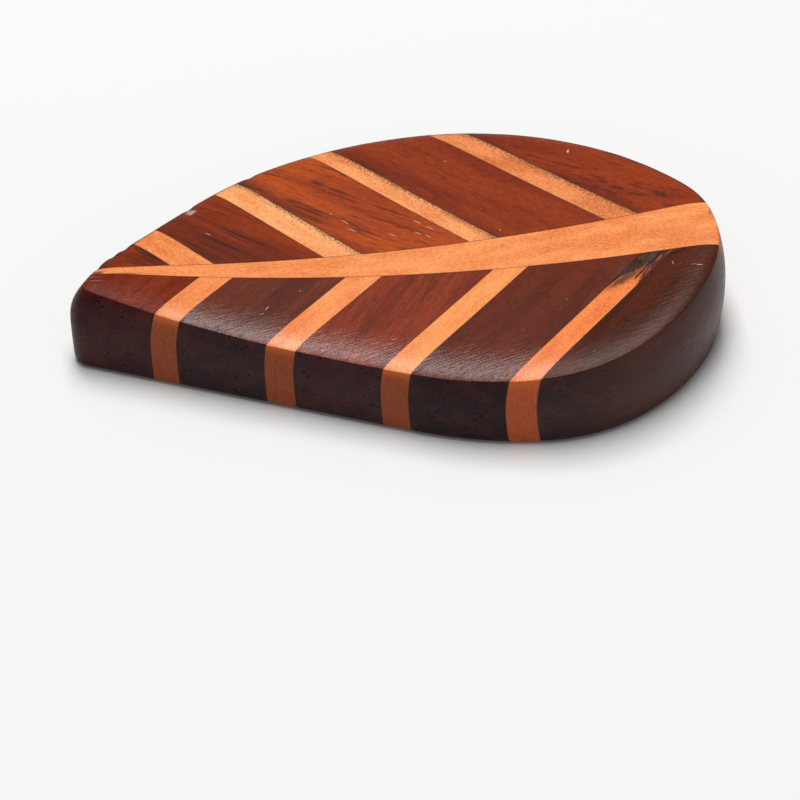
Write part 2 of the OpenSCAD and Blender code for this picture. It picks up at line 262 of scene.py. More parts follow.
@dataclass(frozen=True)
class Block:
    """Outer shape of the whole leaf, from which every lamination takes its part."""

    outline: Outline = Outline()
    dip_height: float = 6.4
    dip_share: float = 0.4225
    dip_radius: float = 132.0
    crown_drop: float = 0.15
    border_drop: float = 0.38
    border_fade: float = 0.85
    foot_radius: float = 0.6
    fullest_share: float = 0.55
    rim_softness: float = 0.07
    sole_shares: Triple = (0.0, 0.35, 0.7)
    foot_steps: int = 7
    wall_steps: int = 14
    rim_steps: int = 7
    top_steps: int = 54
    top_crowding: float = 1.9
    slope_reach: int = 4
    inset_stride: int = 3
    plan: PlanLine = field(init=False)
    rim_top: Array = field(init=False)
    rim_outward: Array = field(init=False)

    def __post_init__(self) -> None:
        """Traces the outline once for all laminations, with the rim's height and its own directions."""
        plan = self.outline.trace()
        ahead = np.roll(plan.rim, -self.slope_reach, 0) - np.roll(plan.rim, self.slope_reach, 0)
        outward = np.stack([ahead[:, 1], -ahead[:, 0]], 1)
        outward /= np.linalg.norm(outward, axis=1, keepdims=True)
        object.__setattr__(self, "plan", plan)
        object.__setattr__(self, "rim_outward", outward)
        object.__setattr__(self, "rim_top", self.top(*plan.rim.T, np.zeros(len(plan.rim))))

    def top(self, x: Array, y: Array, inset: Array) -> Array:
        """Height of the top: a lengthwise circular hollow, less a crown across and the border's fall.

        Args:
            x: Places along the length.
            y: Places across the width.
            inset: Distances inward from the rim.

        Returns:
            dip_height + r - sqrt(r^2 - (x - dip)^2) - crown (y / half width)^2 - border exp(-inset / fade).
        """
        off = x - (self.dip_share - 0.5) * LENGTH
        hollow = self.dip_height + self.dip_radius - np.sqrt(self.dip_radius ** 2 - off ** 2)
        crown = self.crown_drop * ((y - MIDDLE) / (WIDTH / 2)) ** 2
        return hollow - crown - self.border_drop * np.exp(-inset / self.border_fade)

    def wall_ring(self, share: float) -> Array:
        """The wall's line at a share of its height: parabolas inward to the foot and to the rim."""
        full = self.fullest_share
        part = (max(0.0, full - share) / full) ** 2
        return self.plan.ring(0.0, part, (max(0.0, share - full) / (1 - full)) ** 2)

    def leave(self, base: Array, way: Array, ring: Array) -> tuple[Array, Array]:
        """Where plan lines leave a line round the block.

        The ring's points are turned into distances across and along each line; the line leaves where
        the distance across changes sign ahead of its start, and the place is found by proportion.

        Args:
            base: Start of each line, (lines, 2).
            way: Unit direction of each line, (lines, 2).
            ring: Points of the line round the block, one for each sample of the rim.

        Returns:
            Distance along each line, and the height of the rim there.
        """
        off = ring[None] - base[:, None]
        across = way[:, None, 0] * off[..., 1] - way[:, None, 1] * off[..., 0]
        along = (off * way[:, None]).sum(-1)
        here = np.argmax((across <= 0) & (np.roll(across, -1, 1) > 0) & (along > 0), 1)
        line = np.arange(len(base))
        after = (here + 1) % len(ring)
        share = across[line, here] / (across[line, here] - across[line, after])
        travel = along[line, here] * (1 - share) + along[line, after] * share
        return travel, self.rim_top[here] * (1 - share) + self.rim_top[after] * share

    def inset(self, plan: Array) -> Array:
        """Distance inward from the rim, along the outward direction of the rim's nearest sample."""
        rim, outward = self.plan.rim[::self.inset_stride], self.rim_outward[::self.inset_stride]
        flat = plan.reshape(-1, 2)
        nearest = ((flat[:, None] - rim[None]) ** 2).sum(-1).argmin(1)
        return -((flat - rim[nearest]) * outward[nearest]).sum(1).reshape(plan.shape[:-1])

    def section(self, base: Array, way: Array, start: Array | None = None) -> Section:
        """Sections over plan lines, from the underside round the wall and the border to the top.

        The foot is a quarter circle, the wall follows wall_ring(), the rim is a curve of the second degree
        from wall to top, and the rows of the top crowd towards the rim.

        Args:
            base: Start of each line, (lines, 2).
            way: Unit direction of each line, (lines, 2).
            start: Distance along each line at which the top ends, nothing for its start.

        Returns:
            The sections, (lines, places, 3).
        """
        zero = np.zeros(len(base))
        start = zero if start is None else start
        foot_travel, foot_top = self.leave(base, way, self.plan.ring(self.foot_radius, 1.0, 0.0))
        rows = [(foot_travel * share, zero, -foot_top) for share in self.sole_shares]
        for angle in np.radians(np.linspace(90, 0, self.foot_steps)):
            ring = self.plan.ring(self.foot_radius * (1 - math.cos(angle)), 1.0, 0.0)
            travel, top = self.leave(base, way, ring)
            height = self.foot_radius * (1 - math.sin(angle))
            rows.append((travel, zero + height, height - top))
        last_share = 1 - self.rim_softness / (self.dip_height - self.foot_radius)
        for share in np.linspace(0, last_share, self.wall_steps)[1:]:
            travel, top = self.leave(base, way, self.wall_ring(share))
            height = self.foot_radius + (top - self.foot_radius) * share
            rows.append((travel, height, height - top))
        wall_travel, wall_height, _ = rows[-1]
        rim_travel, rim_top = self.leave(base, way, self.plan.rim)
        top_travel = rim_travel - self.rim_softness
        shares = np.linspace(0, 1, self.top_steps) ** self.top_crowding
        inner = top_travel[:, None] * (1 - shares) + start[:, None] * shares
        plan = base[:, None] + way[:, None] * inner[..., None]
        inset = self.inset(plan)
        top_height = self.top(plan[..., 0], plan[..., 1], inset)
        for u in np.linspace(0, 1, self.rim_steps)[1:-1]:
            a, b, c = (1 - u) ** 2, 2 * u * (1 - u), u ** 2
            height = a * wall_height + b * rim_top + c * top_height[:, 0]
            rows.append((a * wall_travel + b * rim_travel + c * top_travel, height,
                         c * inset[:, 0] + a * (height - rim_top)))
        travel, height, rim = (np.stack(column, 1) for column in zip(*rows))
        travel = np.concatenate([travel, inner], 1)
        height = np.concatenate([height, top_height], 1)
        plan = base[:, None] + way[:, None] * travel[..., None]
        return Section(np.concatenate([plan, height[..., None]], -1), np.concatenate([rim, inset], 1))


@dataclass(frozen=True)
class RibLine:
    """Plan of the tapered midrib and of the cuts that meet it."""

    nose_width: float = 0.4
    stalk_width: float = 4.45

    @property
    def taper(self) -> float:
        """Half the growth of the midrib's width for each millimetre of length."""
        return (self.stalk_width - self.nose_width) / LENGTH / 2

    def half(self, place: float) -> float:
        """Half the midrib's width at a place measured from the nose."""
        return self.nose_width / 2 + self.taper * place

    def edge_point(self, place: float, angle: float, half: Half) -> Array:
        """Where a cut that crosses the centre line at a place and an angle in degrees meets the edge."""
        slope = math.tan(math.radians(angle))
        run = self.half(place) / (slope + self.taper)
        return np.array([place - run - LENGTH / 2, MIDDLE + half.value * run * slope])

    def edge_way(self, half: Half, end: End) -> Array:
        """Unit direction along the midrib's edge towards one end."""
        way = np.array([1.0, half.value * self.taper]) * end.value
        return way / np.linalg.norm(way)


def cut_way(angle: float, half: Half) -> Array:
    """Unit direction of a cut outwards from the midrib, which leans towards the nose."""
    turn = math.radians(angle)
    return np.array([-math.cos(turn), half.value * math.sin(turn)])


def off_line(plan: Array, point: Array, way: Array) -> Array:
    """Distances of plan points from a line through a point."""
    off = plan - point
    return np.abs(way[0] * off[..., 1] - way[1] * off[..., 0])


@dataclass
class Graph:
    """Node tree of one material or world."""

    tree: bpy.types.NodeTree

    @classmethod
    def of(cls, owner: bpy.types.Material | bpy.types.World) -> "Graph":
        """The emptied node tree of a new material or world."""
        owner.use_nodes = True
        owner.node_tree.nodes.clear()
        return cls(owner.node_tree)

    def add(self, kind: str, inputs: tuple[Any, ...] | dict[Any, Any] = (), output: int | str = 0,
            **settings: Any) -> Socket | None:
        """Adds a node.

        Args:
            kind: Type of the node, without the ShaderNode that every type starts with.
            inputs: Sockets, which are linked, and values, in the node's own order or by name or number.
            output: Name or number of the output wanted.
            **settings: Properties of the node.

        Returns:
            The wanted output socket, or None for a node that has no outputs.
        """
        made = self.tree.nodes.new(f"ShaderNode{kind}")
        for key, value in settings.items():
            setattr(made, key, value)
        for key, value in inputs.items() if isinstance(inputs, dict) else enumerate(inputs):
            if isinstance(value, Socket):
                self.tree.links.new(value, made.inputs[key])
            else:
                made.inputs[key].default_value = value
        return made.outputs[output] if made.outputs else None


class Tone(str, Enum):
    """Colours that lie over the woods' own."""

    FLECK = "E6CFC0"  # painted glint of light on scratches, dents and proud edges
    CHIP = "B8A79E"  # bruised, unwaxed fibres
    DARK = "26110D"  # crack or oily vein
    STAIN = "5A2415"  # rosewood dust sanded into the pores
    DUST = "4E4130"  # the same mixed with glue
    FRESH = "C9541F"  # torn lotus wood
    GRIME = "2E1610"  # painted shade where the rim rolls away from the light
    PORE = "0C0606"
    SPECK = "B89888"  # grain of polishing dust
    BLUSH = "6A3020"  # redder bands in the end grain of rosewood
    ROSEWOOD_GLUE = "2A1712"
    LOTUS_GLUE = "8A4A26"
    RAY = "D2703A"  # fine lines along lotus wood
    SMUDGE = "6C5036"  # dark dust rubbed over a joint into lotus wood
    SINGED = "A8431F"  # lotus wood burnt red by the saw
    TORN = "45231B"  # filler in the torn end
    CRACK = "140A09"
    PASTE_SPECK = "8A7660"


@dataclass(frozen=True)
class Mark:
    """One small mark on the top: a ragged ellipse in plan, its turn in degrees."""

    tone: Tone
    x: float
    y: float
    length: float
    width: float
    turn: float
    amount: float = 0.8
    soft: float = 0.5


def marks(*rows: tuple[Any, ...]) -> tuple[Mark, ...]:
    """Marks from rows of their values."""
    return tuple(Mark(*row) for row in rows)


def flecks(*rows: tuple[float, float, float, float], amount: float = 0.8) -> tuple[Mark, ...]:
    """Thin pale flecks, painted glints of light on scratches, from rows of x, y, length and turn."""
    return tuple(Mark(Tone.FLECK, x, y, length, 0.055, turn, amount) for x, y, length, turn in rows)


@dataclass(frozen=True)
class Grain:
    """A noise pattern along the fibres, and which range of it is stretched to 0 and 1 with soft ends.

    size is one unit of the pattern along the fibres, across them and upwards; shift sets it apart from
    the other patterns of the same wood.
    """

    size: Triple
    shift: float = 0.0
    detail: float = 2.0
    low: float = 0.0
    high: float = 1.0
    roughness: float = 0.5
    distortion: float = 0.0


# Rosewood: growth bands 1 to 3 mm wide, oily veins of a few tenths, and pores 0.1 to 0.2 mm wide, drawn up to
# half as wide again. Fibres are really about 0.02 mm wide, and grains of polishing dust some hundredths; both
# are too fine to show, so they are drawn 0.08 and 0.1 mm wide. Wax and the painted shade along the rim vary
# over half a millimetre.
BAND = Grain((18.0, 1.7, 1.7), 0.0, 3.0, 0.34, 0.66, distortion=0.3)
VEIN = Grain((12.0, 0.34, 0.34), 5.0, distortion=0.2)
VEIN_PATCH = Grain((9.0, 2.2, 2.2), 9.0, 1.0)
SHADE = Grain((6.0, 0.6, 0.6), 11.0, 2.0, 0.2, 0.6)
BLUSH = Grain((6.0, 1.3, 1.3), 33.0, 3.0, 0.42, 0.68)
FIBRE = Grain((2.6, 0.08, 0.08), 2.0)
GRIT = Grain((0.6, 0.2, 0.2), 23.0, 3.0, roughness=0.65)
PORE_CELL = Grain((1.5, 0.33, 0.33), 3.0)
PORE_CROWD = Grain((5.0, 1.3, 1.3), 14.0, 1.0, 0.38, 0.5)
SPECK_CELL = Grain((1.1, 0.8, 0.8), 27.0)
UNEVEN_WAX = Grain((1.6, 0.5, 0.5), 6.0)
GRIME = Grain((0.9, 0.5, 0.5), 31.0)
# The last sanding left strokes that run alike over all the panels, really some hundredths of a millimetre
# wide, drawn 0.08 mm wide to show.
STROKE = (1.6 * MM, 0.08 * MM, 0.5 * MM)
STROKE_TURN = 15.0
# Lotus wood: soft clouds a millimetre wide. Vessel flecks and rays are really 0.03 to 0.05 mm wide and are
# drawn 0.1 mm wide to show. Dust and tears end in tufts of fibres 0.1 to 0.3 mm wide.
CLOUD = Grain((4.5, 1.1, 1.1), 0.0, 3.0, 0.3, 0.7, 0.55)
FLECK = Grain((0.26, 0.1, 0.1), 4.0, 3.0, 0.3, 0.7, 0.65)
RAY = Grain((4.0, 0.09, 0.09), 8.0, 1.0, 0.56, 0.75)
WALL_GRIT = Grain((3.0, 0.12, 0.5), 23.0, 3.0, roughness=0.6)
RAGGED = Grain((0.2, 0.11, 0.11), 1.0, 3.0, 0.2, 0.8)
TEAR = Grain((0.5, 0.3, 0.3), 21.0, 3.0)
# Filler: lumps half a millimetre wide with grains of wood dust 0.1 mm wide between them.
LUMP = Grain((0.7, 0.6, 0.6), 0.0, 3.0)
PASTE_CELL = Grain((0.3, 0.2, 0.2), 2.0)


@dataclass(frozen=True)
class WoodFinish:
    """What the finishes share: the fibres' direction in plan and their rise, in degrees, a shift of the
    figure, its two colours, the wax and the marks.

    Bare wood has an index near 1.5, but under wax it hardly reflects by itself, so index is matched.
    """

    slot: ClassVar[Slot]
    name: str
    grain_angle: float
    shift: float
    light: str
    dark: str
    grain_rise: float = 5.0
    index: float = 1.08
    wax: float = 0.85
    wall_wax: float = 0.3
    wax_roughness: float = 0.23
    wax_index: float = 1.42
    # Strength of the painted shade along the rim, where the far rim rolls away from the light.
    edge_shade: float = 0.0
    marks: tuple[Mark, ...] = ()

    def make(self) -> bpy.types.Material:
        """Builds the material.

        Returns:
            The finished material.
        """
        made = bpy.data.materials.new(self.name)
        self.paint(Graph.of(made))
        return made

    def paint(self, graph: Graph) -> None:
        """Paints the material, from its figure to its surface."""
        raise NotImplementedError

    def pattern(self, graph: Graph, grain: Grain) -> Socket:
        """Object coordinates turned to the fibres and shifted, in units of a pattern's sizes."""
        place = graph.add("TexCoord", output="Object")
        move = (self.shift + grain.shift) * MM
        return graph.add("Mapping", (
            place, (move * 7.3, move * 3.7, move * 1.9),
            (0.0, math.radians(self.grain_rise), math.radians(self.grain_angle)),
            tuple(s * MM for s in grain.size)), vector_type="TEXTURE")

    def noise(self, graph: Graph, grain: Grain) -> Socket:
        """Noise along the fibres."""
        raw = graph.add("TexNoise", {
            "Vector": self.pattern(graph, grain), "Scale": 1.0, "Detail": grain.detail,
            "Roughness": grain.roughness, "Distortion": grain.distortion})
        if (grain.low, grain.high) == (0.0, 1.0):
            return raw
        return graph.add("MapRange", (raw, grain.low, grain.high), **SMOOTH)

    def cells(self, graph: Graph, grain: Grain) -> Any:
        """Outputs of a pattern of cells along the fibres."""
        return graph.add("TexVoronoi", {"Vector": self.pattern(graph, grain), "Scale": 1.0}).node.outputs

    def spots(self, graph: Graph, grain: Grain, lot: int, rare: Socket | float,
              widest: Socket | float) -> Socket:
        """Spots of differing size in a pattern's cells.

        Args:
            graph: Material that is being made.
            grain: The pattern.
            lot: Which of a cell's three random numbers decides its spot.
            rare: Share of the cells without a spot.
            widest: Radius of the widest spot, in units of the pattern.

        Returns:
            How far inside its cell's spot a place lies, in units of the pattern.
        """
        cell = self.cells(graph, grain)
        number = graph.add("SeparateXYZ", (cell["Color"],), lot)
        reach = graph.add("MapRange", (number, rare, 1.0, 0.0, widest))
        return graph.add("Math", (reach, cell["Distance"]), operation="SUBTRACT")

    def figured(self, graph: Graph, share: Socket, **settings: Any) -> Socket:
        """The figure's own colours, from dark at 0 to light at 1."""
        inputs = {0: share, 6: linear(self.dark), 7: linear(self.light)}
        return graph.add("Mix", inputs, 2, data_type="RGBA", **settings)

    def painted(self, graph: Graph, colour: Socket, *coats: tuple[Socket, str]) -> Socket:
        """A colour with other colours laid over it, each by its share."""
        for share, code in coats:
            colour = graph.add("Mix", {0: share, 6: colour, 7: linear(code)}, 2, data_type="RGBA")
        return colour

    def contrast(self, graph: Graph, noise: Socket, depth: float) -> Socket:
        """A factor round 1, which noise moves by a depth."""
        return graph.add("MapRange", (noise, 0.25, 0.75, 1 - depth, 1 + depth))

    def end_grain(self, graph: Graph) -> Socket:
        """How much a face is cut across the fibres, 0 to 1, from its normal's lean to them."""
        turn = math.radians(self.grain_angle)
        fibres = (math.cos(turn), math.sin(turn), 0.0)
        lean = graph.add("VectorMath", (graph.add("TexCoord", output="Normal"), fibres), "Value",
                         operation="DOT_PRODUCT")
        lean = graph.add("Math", (lean,), operation="ABSOLUTE")
        return graph.add("MapRange", (lean, 0.3, 0.75), **SMOOTH)

    def on_wall(self, graph: Graph) -> Socket:
        """0 on the top, 1 on the side wall, from how upright the face is."""
        upright = graph.add("SeparateXYZ", (graph.add("TexCoord", output="Normal"),), 2)
        return graph.add("MapRange", (upright, 0.45, 0.8, 1.0, 0.0))

    def rim(self, graph: Graph) -> Socket:
        """Distance from the rim, which the mesh carries."""
        return graph.add("Attribute", output="Fac", attribute_name="rim")

    def cuts(self, graph: Graph) -> Any:
        """Distances from the nose-side cut, the stalk-side cut and the midrib, which the mesh carries."""
        cuts = graph.add("Attribute", output="Vector", attribute_name="cuts")
        return graph.add("SeparateXYZ", (cuts,)).node.outputs

    def joint(self, graph: Graph, cuts: Any, inner: float, outer: float, dark: float) -> Socket:
        """The glue line: dark up to an inner distance from the nearest joint, gone at an outer one."""
        near = graph.add("Math", (cuts[0], cuts[1]), operation="MINIMUM")
        near = graph.add("Math", (near, cuts[2]), operation="MINIMUM")
        return graph.add("MapRange", (near, inner, outer, dark, 0.0), **SMOOTH)

    def shaded_and_marked(self, graph: Graph, colour: Socket) -> Socket:
        """Lays painted shade over the last tenth of a millimetre before the rim, where it rolls away from the
        light, and then the marks.

        For a mark the place is shifted a little by noise, turned and divided by the mark's half lengths;
        the mark covers what then lies within 1 of its middle, fading over its soft share. The marks end
        at the side wall.

        Args:
            graph: Material that is being made.
            colour: Colour of the clean wood.

        Returns:
            The colour with the painted shade at the rim, and the marks.
        """
        # Painted shade: the last tenth of a millimetre before the rim is darkened unevenly, where the rim
        # rolls away from the light.
        uneven = graph.add("Math", (self.noise(graph, GRIME), -0.25, self.rim(graph)), **TIMES_PLUS)
        shade_at_rim = graph.add("MapRange", (uneven, -0.08, 0.12, self.edge_shade, 0.0), **SMOOTH)
        colour = bare = self.painted(graph, colour, (shade_at_rim, Tone.GRIME))
        if not self.marks:
            return colour
        place = graph.add("TexCoord", output="Object")
        wobble = graph.add("TexNoise", {"Vector": place, "Scale": 5.0 / MM, "Detail": 2.0}, "Color")
        wobble = graph.add("VectorMath", (wobble, (0.5, 0.5, 0.5)), operation="SUBTRACT")
        for mark in self.marks:
            ragged = (0.4 * min(mark.length, mark.width) + 0.08) * MM
            moved = graph.add("VectorMath", (wobble, (ragged, ragged, 0.0), place), **TIMES_PLUS)
            own = graph.add("Mapping", (
                moved, (mark.x * MM, mark.y * MM, 0.0), (0.0, 0.0, math.radians(mark.turn)),
                (mark.length / 2 * MM, mark.width / 2 * MM, 100.0)), vector_type="TEXTURE")
            away = graph.add("VectorMath", (own,), "Value", operation="LENGTH")
            cover = graph.add("MapRange", (away, 1.0 - mark.soft, 1.0, mark.amount, 0.0), **SMOOTH)
            colour = self.painted(graph, colour, (cover, mark.tone))
        return graph.add("Mix", {0: self.on_wall(graph), 6: colour, 7: bare}, 2, data_type="RGBA")

    def waxed(self, graph: Graph, colour: Socket, rough: Socket, height: Socket, depth: float) -> None:
        """Ends the material: bare wood under a coat of wax, of which end grain soaks up most.

        Args:
            graph: Material that is being made.
            colour: Colour of the surface.
            rough: Roughness of the bare wood.
            height: Relief of the surface, 0 to 1.
            depth: Millimetres that 1 of the relief stands for.
        """
        bump = graph.add("Bump", {"Strength": 1.0, "Distance": depth * MM, "Height": height})
        wax = graph.add("MapRange", (self.on_wall(graph), 0.0, 1.0, self.wax, self.wall_wax))
        shader = graph.add("BsdfPrincipled", {
            "Base Color": colour, "Roughness": rough, "IOR": self.index, "Normal": bump,
            "Coat Weight": wax, "Coat Roughness": self.wax_roughness, "Coat IOR": self.wax_index,
            "Coat Normal": bump})
        graph.add("OutputMaterial", (shader,))


@dataclass(frozen=True)
class Rosewood(WoodFinish):
    """Rosewood, sanded, darkened by its own oil and waxed to a soft sheen: red-brown bands with dark veins,
    open pores that are dashes along the grain and dots across it, and fine sanding strokes in the wax."""

    slot: ClassVar[Slot] = Slot.ROSEWOOD
    end: str = "47201C"
    streak: str = "3A1B15"
    streak_amount: float = 0.5
    streak_level: float = 0.56
    shade_amount: float = 0.5
    shade_width: float = 1.2
    shade_reach: float = 7.0
    roughness: float = 0.5
    pore_amount: float = 0.85
    scratch_depth: float = 1.3

    def paint(self, graph: Graph) -> None:
        """Paints the material, from its figure to its surface."""
        add, rim, cuts = graph.add, self.rim(graph), self.cuts(graph)
        wall, end, fibre = self.on_wall(graph), self.end_grain(graph), self.noise(graph, FIBRE)
        pore = self.pores(graph, wall)
        dark = add("Math", (self.veins(graph), self.shade(graph, rim, cuts[0])), operation="MAXIMUM")
        blush = add("Math", (self.noise(graph, BLUSH), end), **TIMES)
        blush = add("Math", (blush, 0.3), **TIMES)
        colour = self.painted(graph, self.figured(graph, self.noise(graph, BAND)),
                              (dark, self.streak), (end, self.end), (blush, Tone.BLUSH))
        for tone in (self.contrast(graph, fibre, 0.22), self.contrast(graph, self.noise(graph, GRIT), 0.2)):
            colour = add("VectorMath", {0: colour, 3: tone}, operation="SCALE")
        dots = add("Math", (end, self.pore_amount), **TIMES)
        pore_dark = add("Math", (pore, add("MapRange", (wall, 0.0, 1.0, 0.4, dots))), **TIMES)
        speck = add("MapRange", (self.spots(graph, SPECK_CELL, 1, 0.6, 0.065), -0.01, 0.02, 0.0, 0.45))
        colour = self.painted(graph, colour, (pore_dark, Tone.PORE), (speck, Tone.SPECK),
                              (self.joint(graph, cuts, 0.02, 0.1, 0.5), Tone.ROSEWOOD_GLUE))
        rough = add("MapRange", (self.noise(graph, UNEVEN_WAX), 0.3, 0.7, self.roughness - 0.05,
                                 self.roughness + 0.07))
        rough = add("Math", (pore, 0.35, rough), **TIMES_PLUS)
        height = add("Math", (fibre, 0.1), **TIMES)
        height = add("Math", (self.scratches(graph, rim), self.scratch_depth, height), **TIMES_PLUS)
        height = add("Math", (pore, -0.35, height), **TIMES_PLUS)
        self.waxed(graph, self.shaded_and_marked(graph, colour), rough, height, 0.03)

    def veins(self, graph: Graph) -> Socket:
        """Dark oily veins, thicker in some patches."""
        vein = graph.add("Math", (self.noise(graph, VEIN_PATCH), 0.5, self.noise(graph, VEIN)), **TIMES_PLUS)
        low, high = self.streak_level + 0.2, self.streak_level + 0.42
        return graph.add("MapRange", (vein, low, high, 0.0, self.streak_amount), **SMOOTH)

    def shade(self, graph: Graph, rim: Socket, cut: Socket) -> Socket:
        """A dark band along the nose-side cut, streaky and fading away from the rim."""
        band = graph.add("MapRange", (cut, 0.0, self.shade_width, self.shade_amount, 0.0), **SMOOTH)
        outer = graph.add("MapRange", (rim, 0.5, self.shade_reach, 1.0, 0.3))
        uneven = graph.add("Math", (self.noise(graph, SHADE), outer), **TIMES)
        return graph.add("Math", (band, uneven), **TIMES)

    def pores(self, graph: Graph, wall: Socket) -> Socket:
        """Open pores: few and fine on the top, many and wide on the wall, and crowded in bands."""
        rare = graph.add("MapRange", (wall, 0.0, 1.0, 0.72, 0.1))
        widest = graph.add("MapRange", (wall, 0.0, 1.0, 0.2, 0.44))
        pore = graph.add("MapRange", (self.spots(graph, PORE_CELL, 0, rare, widest), -0.03, 0.05), **SMOOTH)
        return graph.add("Math", (pore, self.noise(graph, PORE_CROWD)), **TIMES)

    def scratches(self, graph: Graph, rim: Socket) -> Socket:
        """Sanding strokes, deepest near the rim."""
        turned = graph.add("Mapping", {
            "Vector": graph.add("TexCoord", output="Object"),
            "Rotation": (0.0, 0.0, math.radians(STROKE_TURN)), "Scale": STROKE}, vector_type="TEXTURE")
        stroke = graph.add("TexNoise", {"Vector": turned, "Scale": 1.0, "Detail": 2.0})
        return graph.add("Math", (stroke, graph.add("MapRange", (rim, 0.3, 3.5, 1.0, 0.2))), **TIMES)


@dataclass(frozen=True)
class LotusWood(WoodFinish):
    """Lotus wood, a pale close-grained hardwood, sanded and oiled: orange honey with short flecks.
    Dark dust rubbed into one side of some strips leaves a grey-olive blur there. Painted light brightens the
    wall just below the rim."""

    slot: ClassVar[Slot] = Slot.LOTUS
    end: str = "B4582F"
    # Colour of the painted light on the wall just below the rim.
    rim_light: str = "E4743A"
    smudge_amount: float = 0.0
    smudge_width: float = 0.35
    torn: float = 0.0
    roughness: float = 0.55

    def paint(self, graph: Graph) -> None:
        """Paints the material, from its figure to its surface."""
        add, cuts, wall = graph.add, self.cuts(graph), self.on_wall(graph)
        cloud, fleck = self.noise(graph, CLOUD), self.noise(graph, FLECK)
        tone = add("Math", (fleck, 0.6), **TIMES)
        tone = add("Math", (cloud, 0.4, tone), **TIMES_PLUS)
        tone = add("MapRange", (tone, 0.2, 0.8, -0.25, 1.25), clamp=False)
        ray = add("Math", (self.noise(graph, RAY), 0.3), **TIMES)
        colour = self.painted(graph, self.figured(graph, tone, clamp_factor=False),
                              (ray, Tone.RAY), (wall, self.end))
        grit = self.contrast(graph, self.noise(graph, WALL_GRIT), 0.24)
        grit = add("Math", (grit, 1.0), operation="SUBTRACT")
        grit = add("Math", (grit, wall, 1.0), **TIMES_PLUS)
        colour = add("VectorMath", {0: colour, 3: grit}, operation="SCALE")
        # Painted light: the wall just below the rim is made a brighter orange, fading over three quarters of
        # a millimetre downwards.
        rim_light = add("MapRange", (self.rim(graph), -0.75, -0.1, 0.0, 0.8), **SMOOTH)
        rim_light = add("Math", (rim_light, wall), **TIMES)
        width = self.smudge_width
        smudge = add("Math", (self.noise(graph, RAGGED), -width, cuts[1]), **TIMES_PLUS)
        smudge = add("MapRange", (smudge, -0.85 * width, 0.15 * width, self.smudge_amount, 0.0), **SMOOTH)
        colour = self.painted(graph, colour, (rim_light, self.rim_light), (smudge, Tone.SMUDGE),
                              (self.joint(graph, cuts, 0.015, 0.07, 0.6), Tone.LOTUS_GLUE))
        if self.torn:
            colour = self.torn_tip(graph, colour, cuts[0], cuts[2])
        rough = add("MapRange", (cloud, 0.3, 0.7, self.roughness - 0.04, self.roughness + 0.08))
        height = add("Math", (fleck, 0.3), **TIMES)
        self.waxed(graph, self.shaded_and_marked(graph, colour), rough, height, 0.02)

    def torn_tip(self, graph: Graph, colour: Socket, across: Socket, along: Socket) -> Socket:
        """The inner end of the strip: red and torn beside the filler, dark behind a slanting ragged line.

        Args:
            graph: Material that is being made.
            colour: Colour of the strip.
            across: Distance from the nose-side cut.
            along: Distance from the midrib's edge.

        Returns:
            The colour with the torn end.
        """
        add = graph.add
        uneven = add("Math", (self.noise(graph, TEAR), 0.5, -0.25), **TIMES_PLUS)
        edge = add("Math", (along, -0.279, across), **TIMES_PLUS)
        edge = add("Math", (edge, uneven), operation="ADD")
        red = add("MapRange", (along, 1.3, 3.0, 0.9, 0.0), **SMOOTH)
        dark = add("MapRange", (edge, 0.72, 0.92, 0.0, self.torn), **SMOOTH)
        crack = add("Math", (uneven, 0.35, across), **TIMES_PLUS)
        crack = add("Math", (crack, 1.09), operation="SUBTRACT")
        crack = add("Math", (crack,), operation="ABSOLUTE")
        near = add("MapRange", (along, 1.3, 1.8, 0.95, 0.0))
        crack = add("MapRange", (crack, 0.03, 0.09, near, 0.0))
        return self.painted(graph, colour, (red, Tone.SINGED), (dark, Tone.TORN), (crack, Tone.CRACK))


@dataclass(frozen=True)
class FillerPaste(WoodFinish):
    """Wood filler, a paste of rosewood dust and glue pressed in and sanded: dark olive, matt and gritty."""

    slot: ClassVar[Slot] = Slot.FILLER

    def paint(self, graph: Graph) -> None:
        """Paints the material, from its figure to its surface."""
        lump = graph.add("MapRange", (self.noise(graph, LUMP), 0.3, 0.7))
        speck = self.cells(graph, PASTE_CELL)["Distance"]
        speck = graph.add("MapRange", (speck, 0.08, 0.2, 0.6, 0.0), **SMOOTH)
        colour = self.painted(graph, self.figured(graph, lump), (speck, Tone.PASTE_SPECK))
        bump = graph.add("Bump", {"Strength": 1.0, "Distance": 0.05 * MM, "Height": lump})
        shader = graph.add("BsdfPrincipled", {
            "Base Color": colour, "Roughness": 0.6, "IOR": self.index, "Normal": bump})
        graph.add("OutputMaterial", (shader,))


